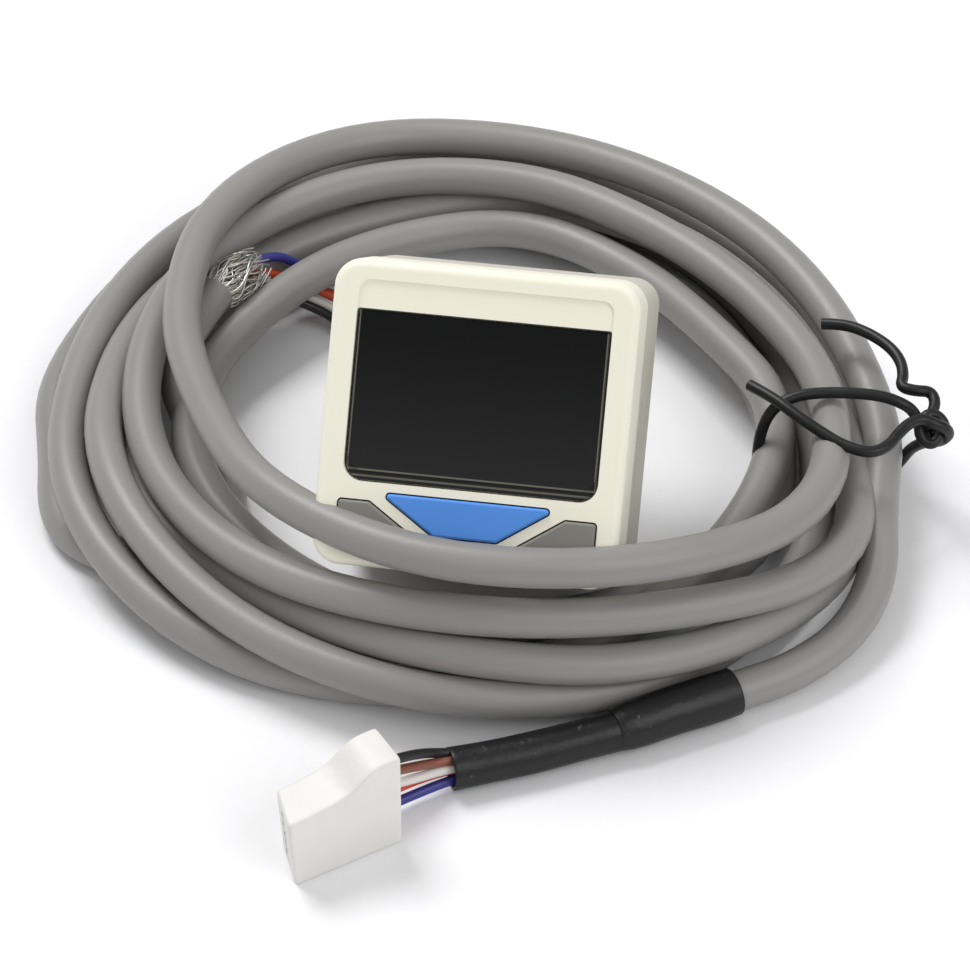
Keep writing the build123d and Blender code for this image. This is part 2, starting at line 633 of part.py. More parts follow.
def make_lead_coil():
    """The tied coil as one closed ring: high in front, waisted where the tie pulls it in."""
    outer = Pos(*COIL_OUTER_CENTRE) * Circle(COIL_OUTER_RADIUS)
    inner = Pos(*COIL_INNER_CENTRE) * Circle(COIL_INNER_RADIUS)
    ring = extrude(outer - inner, amount=COIL_FRONT_HEIGHT + 5)
    reach = 2 * COIL_OUTER_RADIUS
    side = Polyline(
        (-reach, 0),
        (reach, 0),
        (reach, COIL_BACK_HEIGHT),
        (COIL_FALL_TO, COIL_BACK_HEIGHT),
        (COIL_FALL_FROM, COIL_FRONT_HEIGHT),
        (-reach, COIL_FRONT_HEIGHT),
        close=True,
    )
    outline = make_face(side)
    bends = [v for v in outline.vertices() if abs(v.X) < reach / 2]
    outline = fillet(bends, COIL_BEND)
    ring &= extrude(Plane.YZ * outline, amount=reach, both=True)
    rims = ring.edges().filter_by(lambda edge: edge.bounding_box().min.Z > 2)
    ring = fillet(rims, COIL_EDGE_ROUND)
    near, far, low, high = TIE_WAIST
    half = TIE_WAIST_WIDTH / 2
    waist = block(near - 6, far + 6, TIE_PLACE - half, TIE_PLACE + half, -1, COIL_FRONT_HEIGHT)
    core = block(near, far, TIE_PLACE - half - 1, TIE_PLACE + half + 1, low, high)
    waist -= fillet(core.edges().filter_by(Axis.Y), TIE_WAIST_ROUND)
    return ring - waist - stripped_room()


def stripped_room():
    """The open pocket between the turns where the stripped end comes out."""
    near, far = STRIPPED_ROOM
    return block(near[0], far[0], near[1], far[1], -1, COIL_FRONT_HEIGHT)


def make_twist_tie():
    """The tie wire round the coil's waist, with its twist and two bent ends on the outside."""
    near, far, low, high = TIE_WAIST
    reach = TIE_DIAMETER / 2 + SEAT_GAP
    y = TIE_PLACE
    loop_points = (
        (far + 1.0, y - 0.4, 9.6),
        (far - 1.2, y + 0.9, high + reach),
        (34.0, y + 1.1, high + reach + 0.5),
        (near + 1.8, y + 0.4, high + reach + 0.3),
        (near - reach, y - 0.2, high - 2.4),
        (near - reach - 0.1, y - 0.6, low + 2.6),
        (near + 2.2, y - 0.9, low - reach - 0.1),
        (34.0, y - 1.0, low - reach),
        (far - 2.2, y - 0.8, low - reach - 0.1),
        (far + reach + 0.1, y - 0.3, low + 3.0),
        (far + 1.2, y + 0.2, 8.8),
    )
    twist = round_tube(((far + 1.0, y - 0.2, 7.8), (far + 2.4, y - 0.8, 10.6)), 1.9 * TIE_DIAMETER)
    upper_end = (
        (far + 1.6, y + 0.2, 9.4),
        (far + 1.4, y + 4.2, 13.0),
        (39.0, y + 8.2, 13.2),
        (33.4, y + 12.4, 13.1),
    )
    inner_end = (
        (far + 1.8, y - 0.8, 9.6),
        (41.9, y - 3.6, 14.6),
        (38.2, y - 6.2, 15.0),
        (32.2, y - 4.4, 14.4),
        (25.6, y - 0.6, 14.2),
    )
    tie = round_tube(loop_points, TIE_DIAMETER) + twist
    return tie + round_tube(upper_end, TIE_DIAMETER) + round_tube(inner_end, TIE_DIAMETER)


def make_braid():
    """The bunched shield braid where the jacket ends."""
    start = Vector(*STRIPPED_END)
    axis = Vector(*STRIPPED_HEADING).normalized()
    plane = Plane(origin=start, z_dir=axis)
    profile = (
        plane * Circle(CABLE_DIAMETER / 2),
        plane.offset(BRAID_LENGTH * 0.55) * Circle(BRAID_RADIUS),
        plane.offset(BRAID_LENGTH) * Circle(BRAID_TIP_RADIUS),
    )
    return loft(profile)


CORE_NAMES = ("blue", "orange", "white", "brown", "black")
END_ANGLES = {"blue": 18, "orange": 90, "white": 234, "brown": 306, "black": 162}
END_ROUTES = {
    "blue": ((-23.0, 37.8, 3.8), (-15.6, 36.2, 1.2), (-11.2, 30.6, 0.6), (-11.6, 23.4, 0.6)),
    "brown": ((-24.2, 36.0, 3.0), (-16.6, 34.6, 0.8), (-12.8, 29.2, 0.6), (-13.2, 21.6, 0.6)),
    "orange": ((-24.4, 34.4, 5.0), (-17.6, 33.0, 1.4), (-14.4, 27.6, 0.6), (-14.8, 19.6, 0.6)),
    "white": ((-25.2, 33.0, 2.8), (-18.8, 31.4, 0.8), (-16.0, 26.0, 0.6), (-16.4, 17.4, 0.6)),
    "black": ((-25.0, 31.4, 4.2), (-20.2, 30.0, 1.2), (-17.6, 24.4, 0.6), (-18.0, 15.0, 0.6)),
}


def make_end_core(name):
    """One stripped-end core, from the braid down to the floor behind the switch."""
    axis = Vector(*STRIPPED_HEADING).normalized()
    ring = math.radians(END_ANGLES[name])
    reach = BRAID_TIP_RADIUS - CORE_DIAMETER / 2
    across = Vector(-axis.Y, axis.X, 0).normalized()
    rising = axis.cross(across)
    start = Vector(*STRIPPED_END) + axis * BRAID_LENGTH
    start += across * (reach * math.cos(ring)) + rising * (reach * math.sin(ring))
    ahead = start + axis * BRAID_LEAD_OUT
    return round_tube((start, ahead, *END_ROUTES[name]), CORE_DIAMETER)


# Every piece of the switch itself, drawn upright
switch = {
    "front_bezel": make_front_bezel(),
    "rear_body": make_rear_body(),
    "display_window": make_display_window(),
    "display_glass": display_block(GLASS_FRONT, GLASS_BACK, DISPLAY_MARGIN),
    "light_guide": display_block(GLASS_BACK, GLASS_BACK + GUIDE_THICKNESS, DISPLAY_MARGIN - 0.2),
    "display_pins": make_display_pins(),
    "display_board": make_display_board(),
    "set_button": make_key("set"),
    "up_button": make_key("up"),
    "down_button": make_key("down"),
    "set_plunger": make_plunger("set"),
    "up_plunger": make_plunger("up"),
    "down_plunger": make_plunger("down"),
    "tact_switches": make_tact_switches(),
    "board_header": make_board_header(),
    "main_board": make_main_board(),
    "controller_chip": make_controller_chip(),
    "board_capacitors": make_capacitors(),
    "sensor_capsule": make_sensor_capsule(),
    "sensor_seal": make_sensor_seal(),
    "port_fitting": make_port_fitting(),
    "connector_header": make_connector_header(),
    "connector_pins": make_connector_pins(),
    "bracket_inserts": make_bracket_inserts(),
}

# Lean the switch back and put the middle of its foot at the origin
leaned = {}
for name, part in switch.items():
    whole = Compound(part) if isinstance(part, list) else part
    leaned[name] = Rot(X=-LEAN_BACK) * whole
box = Compound(list(leaned.values())).bounding_box()
to_origin = Pos(-(box.min.X + box.max.X) / 2, -(box.min.Y + box.max.Y) / 2, -box.min.Z)
parts = {name: to_origin * part for name, part in leaned.items()}
print("face foot edge at", -(box.min.Y + box.max.Y) / 2, -box.min.Z)

# The room that the leaning switch needs inside the coil
room_half = FACE_WIDTH / 2 + COIL_GAP
room_front = -KEY_PROUD - COIL_GAP
room_back = BODY_DEPTH + PORT_HEX_LENGTH + PORT_THREAD_LENGTH
room = block(-room_half, room_half, room_front, room_back, -COIL_GAP, 2 * FACE_HEIGHT)
room = to_origin * Rot(X=-LEAN_BACK) * room

# The lead and what is on it, as it lies on the floor
narrow_sleeve, wide_sleeve = make_sleeves()
parts["lead_coil"] = make_lead_coil() - room
parts["lead_tube"] = round_tube(LEAD_ROUTE, CABLE_DIAMETER)
parts["wire_sleeve"] = narrow_sleeve
parts["cable_sleeve"] = wide_sleeve
parts["plug_housing"] = make_plug_housing()
parts["plug_contacts"] = Compound(make_plug_contacts())
for index, name in enumerate(CORE_NAMES):
    parts["plug_core_" + name] = make_core_in_plug(index)
    parts["end_core_" + name] = make_end_core(name)
parts["shield_braid"] = make_braid()
parts["twist_tie"] = make_twist_tie()

os.makedirs("parts", exist_ok=True)
for name, part in parts.items():
    export_step(part, "parts/" + name + ".step")
print(len(parts), "nodes written")
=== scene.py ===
# %% [markdown]
# # A digital pressure switch lying in its own coiled lead
# A small square switch with a dark display window and three buttons leans back inside the loose
# coil of its grey shielded lead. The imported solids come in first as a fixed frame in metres, and
# every new piece is placed in that same frame, so nothing has to be fitted by eye afterwards.

# %% Load the frame
import bpy
import math
import random
from mathutils import Matrix, Vector


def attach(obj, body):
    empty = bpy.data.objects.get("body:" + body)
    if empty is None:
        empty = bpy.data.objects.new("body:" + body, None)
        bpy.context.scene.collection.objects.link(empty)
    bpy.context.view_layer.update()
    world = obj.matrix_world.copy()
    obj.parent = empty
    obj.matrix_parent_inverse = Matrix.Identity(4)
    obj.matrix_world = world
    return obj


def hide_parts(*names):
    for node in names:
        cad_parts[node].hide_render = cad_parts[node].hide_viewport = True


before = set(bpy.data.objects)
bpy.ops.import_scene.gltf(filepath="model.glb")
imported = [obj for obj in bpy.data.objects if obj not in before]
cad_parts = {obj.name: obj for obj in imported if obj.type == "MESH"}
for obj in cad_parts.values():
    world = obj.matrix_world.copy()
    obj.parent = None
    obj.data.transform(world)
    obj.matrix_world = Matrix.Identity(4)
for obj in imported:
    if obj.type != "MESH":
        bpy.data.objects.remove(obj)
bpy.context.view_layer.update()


# %% [markdown]
# ## Camera, light and floor
# The picture was taken from close by with a long lens, from a little to the right and 42 degrees
# up. A camera object turned by two angles gives that view. The light is one large soft lamp above,
# behind and to the left, with a weaker one opposite and a plain white sky, so shadows stay soft.

# %% Camera
AZIMUTH = 8.5
ELEVATION = 42.0
LENS = 187.4
CAMERA_PLACE = (0.055378, -0.375338, 0.350286)

camera_data = bpy.data.cameras.new("camera")
camera_data.sensor_width = 36.0
camera_data.lens = LENS
camera = bpy.data.objects.new("camera", camera_data)
camera.location = CAMERA_PLACE
camera.rotation_euler = (math.radians(90.0 - ELEVATION), 0.0, math.radians(AZIMUTH))
bpy.context.scene.collection.objects.link(camera)
bpy.context.scene.camera = camera
bpy.context.scene.view_settings.view_transform = "Standard"


# %% [markdown]
# ## A small language for materials
# Shader nodes are easier to read as sums than as a web of links. One class wraps a socket, so that
# `1 - mask * 0.5` adds the Math nodes by itself. Colours go through Mix nodes, because a Math node
# would turn them grey.

# %% Material helper
class Value:
    """A socket that can be added, multiplied and compared like a number."""

    def __init__(self, book, socket):
        self.book = book
        self.socket = socket

    def math(self, operation, first, second):
        return self.book.node("ShaderNodeMath", {"operation": operation}, {0: first, 1: second})

    def __add__(self, other):
        return self.math("ADD", self, other)

    def __radd__(self, other):
        return self.math("ADD", other, self)

    def __sub__(self, other):
        return self.math("SUBTRACT", self, other)

    def __rsub__(self, other):
        return self.math("SUBTRACT", other, self)

    def __mul__(self, other):
        return self.math("MULTIPLY", self, other)

    def __rmul__(self, other):
        return self.math("MULTIPLY", other, self)

    def above(self, edge, soft):
        """Rises from 0 to 1 as the value passes an edge."""
        settings = {"interpolation_type": "SMOOTHSTEP"}
        return self.book.node("ShaderNodeMapRange", settings, {0: self, 1: edge - soft, 2: edge + soft})


class Book:
    """One material and the few nodes it is written with."""

    def __init__(self, name):
        self.material = bpy.data.materials.new(name)
        self.material.use_nodes = True
        self.tree = self.material.node_tree
        self.tree.nodes.clear()
        self.surface = self.tree.nodes.new("ShaderNodeBsdfPrincipled")
        self.output = self.tree.nodes.new("ShaderNodeOutputMaterial")
        self.tree.links.new(self.surface.outputs[0], self.output.inputs["Surface"])
        self.place = Value(self, self.tree.nodes.new("ShaderNodeTexCoord").outputs["Object"])

    def put(self, socket, value):
        """Sets a socket, or links a value to it."""
        if isinstance(value, Value):
            self.tree.links.new(value.socket, socket)
        elif value is not None:
            socket.default_value = value

    def node(self, kind, settings=None, inputs=None, output=0):
        """Adds any node: its settings first, then the values or links of its sockets."""
        made = self.tree.nodes.new(kind)
        for name, value in (settings or {}).items():
            if name == "stops":
                while len(made.color_ramp.elements) < len(value):
                    made.color_ramp.elements.new(0.5)
                for element, (position, colour) in zip(made.color_ramp.elements, value):
                    element.position = position
                    element.color = colour
            else:
                setattr(made, name, value)
        for name, value in (inputs or {}).items():
            self.put(made.inputs[name], value)
        return Value(self, made.outputs[output])

    def noise(self, scale, detail=2.0, stretch=None, at=None, roughness=0.5):
        """Soft random variation, with a scale in cells per metre."""
        source = at or self.place
        if stretch:
            source = self.node("ShaderNodeMapping", {}, {"Vector": source, "Scale": stretch})
        inputs = {"Vector": source, "Scale": scale, "Detail": detail, "Roughness": roughness}
        return self.node("ShaderNodeTexNoise", {}, inputs)

    def mix(self, mask, first, second):
        """Goes from one colour to another as the mask goes from 0 to 1."""
        made = self.tree.nodes.new("ShaderNodeMix")
        made.data_type = "RGBA"
        self.put(made.inputs[0], mask)
        self.put(made.inputs[6], first)
        self.put(made.inputs[7], second)
        return Value(self, made.outputs[2])

    def axis(self, name, at=None):
        """One coordinate of the place on the object, in metres."""
        separated = self.node("ShaderNodeSeparateXYZ", {}, {0: at or self.place})
        made = separated.socket.node
        return Value(self, made.outputs["XYZ".index(name)])

    def bump(self, height, distance, strength=1.0, under=None):
        """Small relief, with its full height as a distance in metres."""
        inputs = {"Height": height, "Distance": distance, "Strength": strength, "Normal": under}
        return self.node("ShaderNodeBump", {}, inputs)

    def finish(self, **sockets):
        """Sets the surface's sockets by their names, with underscores for spaces."""
        for name, value in sockets.items():
            self.put(self.surface.inputs[name.replace("_", " ")], value)
        return self.material


def rgb(text):
    """A colour written as six hex digits, as linear light."""
    levels = [int(text[start:start + 2], 16) / 255 for start in (0, 2, 4)]
    linear = [v / 12.92 if v <= 0.04045 else ((v + 0.055) / 1.055) ** 2.4 for v in levels]
    return (*linear, 1.0)


# %% Floor and backdrop
floor_book = Book("floor_white")
grain = floor_book.noise(900.0, 3.0)
floor_paint = floor_book.mix(grain, rgb("f1f1f3"), rgb("f5f5f7"))
floor_book.finish(Base_Color=floor_paint, Roughness=0.7)

bpy.ops.object.select_all(action="DESELECT")
bpy.ops.mesh.primitive_plane_add(size=6.0, location=(0.0, 0.0, 0.0))
floor = bpy.context.object
floor.name = "floor"
floor.data.materials.append(floor_book.material)

# %% Lamps and sky
SKY_STRENGTH = 0.50
LAMP_AIM = (0.0, 0.01, 0.01)

world = bpy.data.worlds.new("sky")
bpy.context.scene.world = world
world.use_nodes = True
world.node_tree.nodes["Background"].inputs["Color"].default_value = (1.0, 1.0, 1.0, 1.0)
world.node_tree.nodes["Background"].inputs["Strength"].default_value = SKY_STRENGTH


def soft_lamp(name, place, aim, size, power):
    """A large square lamp that faces a point."""
    data = bpy.data.lights.new(name, "AREA")
    data.shape = "SQUARE"
    data.size = size
    data.energy = power
    lamp = bpy.data.objects.new(name, data)
    lamp.location = place
    lamp.rotation_euler = (Vector(aim) - Vector(place)).to_track_quat("-Z", "Y").to_euler()
    bpy.context.scene.collection.objects.link(lamp)
    return lamp


soft_lamp("lamp_main", (-0.35, 0.30, 0.75), LAMP_AIM, 0.40, 4.8)
soft_lamp("lamp_fill", (0.55, -0.35, 0.55), LAMP_AIM, 0.60, 2.5)

# %% [markdown]
# ## The coiled lead
# The lead is one soft grey cable, four millimetres thick, wound loosely by hand in about seven
# turns and tied at the right. It could be drawn as tubes for the turns that show, but then no end
# would lead anywhere. So it is one smooth curve from the stripped end to the sleeve: each turn is
# a row of twelve places round the coil's middle, every 30 degrees from the right-hand side, with
# how far out and how high the lead runs there, and a loop turns the rows into points. The last row
# is shorter, because there the lead turns back on the floor and climbs to its stripped end. Nothing
# keeps the turns apart: where they cross they cut a little into each other, and the hidden climb
# passes right through one turn, which a real cable could not do. Raising or moving the places in
# the rows until no two runs are closer than one diameter would mend that.

# %% Route of the lead
MIDDLE = (-3.0, 17.0)
TURNS = (
    ((40.2, 7.7), (36.2, 9.4), (35.6, 9.6), (37.2, 9.6), (39.5, 10.4), (36.0, 13.2),
     (31.8, 13.6), (30.2, 14.6), (34.7, 17.2), (38.8, 18.4), (40.9, 17.4), (41.4, 12.8)),
    ((35.0, 10.6), (29.4, 9.9), (28.1, 9.7), (30.8, 9.6), (33.5, 9.3), (34.8, 9.2),
     (35.0, 10.2), (36.8, 9.5), (38.6, 10.6), (39.9, 12.6), (40.6, 10.6), (46.2, 8.6)),
    ((36.3, 5.9), (32.6, 6.2), (31.8, 6.2), (32.8, 5.6), (31.5, 5.3), (33.2, 5.2),
     (36.6, 3.4), (38.6, 5.8), (38.0, 6.2), (41.4, 9.0), (44.0, 6.6), (44.2, 4.9)),
    ((38.3, 2.8), (37.2, 2.1), (38.4, 3.0), (37.8, 5.3), (41.0, 5.6), (42.0, 5.6),
     (42.2, 5.8), (45.2, 5.9), (44.4, 2.8), (40.4, 2.0), (35.5, 3.4), (32.8, 7.0)),
    ((30.3, 7.8), (24.2, 7.2), (24.8, 6.0), (28.2, 5.5), (26.6, 5.8), (26.0, 7.0),
     (30.0, 4.8), (32.0, 5.7), (32.7, 5.4), (35.0, 5.2), (31.4, 3.2), (34.2, 2.4)),
    ((30.1, 2.8), (28.4, 2.1), (29.4, 2.1), (31.4, 2.0), (35.2, 2.2), (37.2, 4.8),
     (38.0, 7.2), (41.4, 9.4), (42.6, 6.6), (44.3, 5.5), (42.8, 2.3), (39.8, 2.1)),
    ((34.2, 2.8), (32.8, 2.1), (33.8, 2.1), (35.8, 2.0), (40.4, 2.0), (44.2, 2.0),
     (45.0, 2.0)),
)
LEAD_START = ((24.8, -21.2, 2.4), (27.2, -19.6, 2.4), (32.8, -15.9, 2.4), (37.6, -10.2, 2.9),
              (39.8, -3.2, 4.4), (38.8, 4.6, 6.2))
LEAD_END = ((-46.2, 4.6, 2.0), (-45.0, -1.8, 2.0), (-43.0, -6.0, 2.0), (-39.2, -8.7, 2.0),
            (-34.5, -9.1, 2.0), (-30.3, -7.1, 2.0), (-27.6, -3.3, 2.0), (-27.4, 1.4, 2.0),
            (-29.5, 6.0, 2.2), (-32.8, 9.6, 3.8), (-35.4, 13.6, 6.8), (-35.5, 18.4, 8.8),
            (-33.2, 25.2, 9.0))
CABLE_DIAMETER = 4.0


CURVE_INSIDE = 1.034


def ring_point(angle, reach, height):
    """A point round the coil's middle. The curve runs a little inside its points, so they go out."""
    out = reach * CURVE_INSIDE
    return (MIDDLE[0] + out * math.cos(angle), MIDDLE[1] + out * math.sin(angle), height)


lead_points = list(LEAD_START)
for turn in TURNS:
    for step, (reach, height) in enumerate(turn):
        lead_points.append(ring_point(math.radians(30.0 * step), reach, height))
lead_points.extend(LEAD_END)
lead_points.reverse()
print("points of the lead", len(lead_points))


def smooth_curve(name, routes, diameter, rounds=4, steps=6, thin=None):
    """Round cords on one curve object, each a smooth spline through millimetre points."""
    data = bpy.data.curves.new(name, "CURVE")
    data.dimensions = "3D"
    data.bevel_depth = diameter / 2000.0
    data.bevel_resolution = rounds
    data.resolution_u = steps
    data.use_fill_caps = True
    for route in routes:
        spline = data.splines.new("NURBS")
        spline.points.add(len(route) - 1)
        for index, (x, y, z) in enumerate(route):
            spline.points[index].co = (x / 1000.0, y / 1000.0, z / 1000.0, 1.0)
            if thin:
                spline.points[index].radius = thin[index]
        spline.order_u = 3
        spline.use_endpoint_u = True
    curve = bpy.data.objects.new(name, data)
    bpy.context.scene.collection.objects.link(curve)
    return curve


def dress(piece, slot, material, body="case"):
    """Gives a new piece its finish and the body it rides on. The slot argument is not used."""
    piece.data.materials.clear()
    piece.data.materials.append(material)
    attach(piece, body)
    return piece


# %% [markdown]
# ### The jacket
# The jacket is warm grey PVC with a satin skin. A plain grey would look like clay, so faint cloudy
# patches change its colour and its gloss, and a very shallow grain breaks up the highlight that
# runs along each turn.

# %% Jacket finish
jacket_book = Book("jacket_grey")
clouds = jacket_book.noise(70.0, 3.0)
fine = jacket_book.noise(2600.0, 4.0)
jacket_paint = jacket_book.mix(clouds, rgb("888684"), rgb("92908d"))
jacket_gloss = 0.33 + clouds * 0.10 + fine * 0.06
jacket_relief = jacket_book.bump(fine + clouds * 3.0, 0.00002)
jacket_book.finish(Base_Color=jacket_paint, Roughness=jacket_gloss, Normal=jacket_relief)

lead = smooth_curve("lead", [lead_points], CABLE_DIAMETER, rounds=6, steps=8)
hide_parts("lead_coil", "lead_tube")
dress(lead, "lead_jacket", jacket_book.material)

# %% [markdown]
# ## The heat-shrink sleeves
# Two lengths of black shrink tube cover the place where the round lead ends and the five wires go
# on to the plug. Shrink tube is never a perfect cylinder: it follows what is under it, and its
# mouth shows a thin wall. A curve with a radius of its own at each point gives that shape. It then
# becomes a mesh, so that Solidify can give the wall a thickness.

# %% Shrink tube finish
shrink_book = Book("shrink_black")
scuffs = shrink_book.noise(900.0, 6.0, (1.0, 0.45, 1.0), roughness=0.7).above(0.66, 0.03)
patches = shrink_book.noise(160.0, 2.0)
shrink_paint = shrink_book.mix(scuffs * 0.5, rgb("0e0f10"), rgb("6a6a6a"))
shrink_gloss = 0.32 + patches * 0.16 + scuffs * 0.2
shrink_relief = shrink_book.bump(patches * 4.0 + shrink_book.noise(1500.0, 3.0), 0.00006)
shrink_book.finish(Base_Color=shrink_paint, Roughness=shrink_gloss, Normal=shrink_relief, Specular_IOR_Level=0.4)

# %% Both sleeves
SLEEVE_WALL = 0.00032
NARROW_DIAMETER = 4.2
WIDE_DIAMETER = 4.95


def hollow_sleeve(name, route, diameter, radii, slot, node):
    """A soft-edged tube along a short route, open at both mouths."""
    curve = smooth_curve(name + "_line", [route], diameter, rounds=8, steps=10, thin=radii)
    curve.data.use_fill_caps = False
    mesh = bpy.data.meshes.new_from_object(curve.evaluated_get(bpy.context.evaluated_depsgraph_get()))
    bpy.data.objects.remove(curve)
    sleeve = bpy.data.objects.new(name, mesh)
    bpy.context.scene.collection.objects.link(sleeve)
    bpy.ops.object.select_all(action="DESELECT")
    sleeve.select_set(True)
    bpy.context.view_layer.objects.active = sleeve
    wall = sleeve.modifiers.new("wall", "SOLIDIFY")
    wall.thickness = SLEEVE_WALL
    wall.offset = -1.0
    bpy.ops.object.modifier_apply(modifier="wall")
    soften = sleeve.modifiers.new("lips", "BEVEL")
    soften.width = SLEEVE_WALL * 0.3
    soften.segments = 2
    bpy.ops.object.modifier_apply(modifier="lips")
    bpy.ops.object.shade_smooth()
    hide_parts(node)
    dress(sleeve, slot, shrink_book.material)
    print(name, len(sleeve.data.vertices), "corners")
    return sleeve


NARROW_ROUTE = ((1.0, -34.3, 2.3), (3.8, -33.0, 2.2), (8.2, -31.0, 2.2), (12.8, -28.6, 2.3), (16.4, -26.7, 2.4),
                (18.2, -25.6, 2.4))
WIDE_ROUTE = ((16.0, -26.9, 2.5), (16.9, -26.3, 2.5), (18.6, -25.2, 2.5), (21.2, -23.5, 2.6), (24.0, -21.7, 2.5),
              (26.0, -20.4, 2.5), (27.0, -19.7, 2.5))
hollow_sleeve("sleeve_wires", NARROW_ROUTE, NARROW_DIAMETER, (1.04, 0.98, 1.0, 0.96, 1.0, 1.0), "shrink_black",
              "wire_sleeve")
hollow_sleeve("sleeve_lead", WIDE_ROUTE, WIDE_DIAMETER, (0.86, 0.97, 1.0, 0.98, 1.0, 0.99, 0.98), "shrink_black",
              "cable_sleeve")

# %% [markdown]
# ## The five cores
# Each core is a thin stranded wire in glossy coloured PVC. The same five colours come out at both
# ends of the lead: short and close together into the plug, and long and loose where the jacket
# was stripped. They are curves like the lead, so that they bend as wires do.

# %% Core finishes
CORE_DIAMETER = 1.0
CORE_COLOURS = {
    "blue": ("2c2f80", "34388c"),
    "orange": ("c43f1a", "d04a22"),
    "white": ("d9d4cd", "e2ded8"),
    "brown": ("7d4837", "8a5344"),
    "black": ("151515", "1e1d1d"),
}


def core_finish(name, darker, paler):
    """Glossy wire insulation with faint clouds in its colour."""
    book = Book("core_" + name)
    shade = book.noise(420.0, 3.0)
    relief = book.bump(book.noise(1800.0, 2.0), 0.00002)
    return book.finish(Base_Color=book.mix(shade, rgb(darker), rgb(paler)), Roughness=0.3 + shade * 0.12, Normal=relief)


core_finishes = {name: core_finish(name, *pair) for name, pair in CORE_COLOURS.items()}

# %% Cores into the plug
PLUG_CORE_ROUTES = {
    "blue": ((3.8, -33.4, 1.5), (0.8, -34.9, 1.2), (-2.0, -37.0, 1.1), (-4.4, -39.2, 1.3), (-6.4, -40.8, 1.5)),
    "orange": ((3.8, -32.8, 2.0), (0.8, -34.1, 2.0), (-2.0, -36.2, 2.3), (-4.2, -38.6, 2.8), (-6.4, -40.5, 3.0)),
    "white": ((3.8, -33.3, 2.6), (0.8, -34.7, 2.7), (-1.8, -36.8, 3.2), (-4.2, -39.0, 4.0), (-6.4, -40.7, 4.3)),
    "brown": ((3.8, -33.0, 3.2), (0.6, -34.4, 3.4), (-1.8, -36.4, 4.4), (-4.0, -38.8, 5.7), (-6.4, -40.6, 6.0)),
    "black": ((3.8, -32.6, 3.3), (0.4, -33.6, 3.7), (-1.6, -35.8, 5.6), (-3.8, -38.4, 7.0), (-6.4, -40.4, 7.2)),
}
plug_cores = []
for name, route in PLUG_CORE_ROUTES.items():
    core = smooth_curve("plug_wire_" + name, [route], CORE_DIAMETER, rounds=4, steps=10)
    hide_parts("plug_core_" + name)
    dress(core, "core_" + name, core_finishes[name])
    plug_cores.append(core)

# %% [markdown]
# ## The plug
# The white plug is moulded nylon: a block that is deeper where the wires enter, with a soft S-shaped
# step down to the nose. It starts as a cube of the plug's size. Six cuts across it give stations to
# work with, and cuts close to the sides, the foot and the top keep the edges crisp. The top corners
# at the wire end go up, and Subdivision rounds it all. Five sockets are then cut into the nose.

# %% Plug shape
PLUG_HEADING = math.radians(218.9)
PLUG_FOOT = Vector((-0.0039, -0.0405, 0.0))
PLUG_LENGTH = 0.0122
PLUG_THICKNESS = 0.0050
PLUG_NOSE_HEIGHT = 0.0084
PLUG_EDGE = 0.0007
plug_ahead = Vector((math.cos(PLUG_HEADING), math.sin(PLUG_HEADING), 0.0))
plug_across = Vector((-plug_ahead.y, plug_ahead.x, 0.0))


def activate(piece):
    """Selects one piece alone, ready for the operators."""
    bpy.ops.object.select_all(action="DESELECT")
    piece.select_set(True)
    bpy.context.view_layer.objects.active = piece


def bake_modifier(piece, kind, **settings):
    """Adds one modifier, sets it and applies it."""
    modifier = piece.modifiers.new(kind.lower(), kind)
    for name, value in settings.items():
        setattr(modifier, name, value)
    activate(piece)
    bpy.ops.object.modifier_apply(modifier=modifier.name)


def cut_across(piece, place, normal):
    """Cuts a loop of edges through the whole piece."""
    activate(piece)
    bpy.ops.object.mode_set(mode="EDIT")
    bpy.ops.mesh.select_all(action="SELECT")
    bpy.ops.mesh.bisect(plane_co=place, plane_no=normal)
    bpy.ops.mesh.select_all(action="DESELECT")
    bpy.ops.object.mode_set(mode="OBJECT")


def shift_corners(piece, chosen, step):
    """Moves the corners that a test picks, with nothing else selected."""
    for vertex in piece.data.vertices:
        vertex.select = chosen(vertex.co)
    bpy.ops.object.mode_set(mode="EDIT")
    bpy.ops.transform.translate(value=step)
    bpy.ops.mesh.select_all(action="DESELECT")
    bpy.ops.object.mode_set(mode="OBJECT")


bpy.ops.object.select_all(action="DESELECT")
plug_middle = PLUG_FOOT + plug_ahead * PLUG_LENGTH / 2 + Vector((0.0, 0.0, PLUG_NOSE_HEIGHT / 2))
bpy.ops.mesh.primitive_cube_add(size=1.0, location=plug_middle, rotation=(0.0, 0.0, PLUG_HEADING),
                                scale=(PLUG_LENGTH, PLUG_THICKNESS, PLUG_NOSE_HEIGHT))
plug = bpy.context.object
plug.name = "plug_body"
bpy.ops.object.transform_apply(location=True, rotation=True, scale=True)
for station in (PLUG_EDGE, 0.0028, 0.0042, 0.0056, 0.0074, PLUG_LENGTH - PLUG_EDGE):
    cut_across(plug, PLUG_FOOT + plug_ahead * station, plug_ahead)
for side in (-1.0, 1.0):
    cut_across(plug, PLUG_FOOT + plug_across * side * (PLUG_THICKNESS / 2 - PLUG_EDGE), plug_across)
for height in (PLUG_EDGE, PLUG_NOSE_HEIGHT - PLUG_EDGE):
    cut_across(plug, Vector((0.0, 0.0, height)), Vector((0.0, 0.0, 1.0)))


def between(low, high, above=PLUG_NOSE_HEIGHT * 0.85):
    """Picks the upper corners between two stations along the plug."""
    return lambda place: low < (place - PLUG_FOOT).dot(plug_ahead) < high and place.z > above


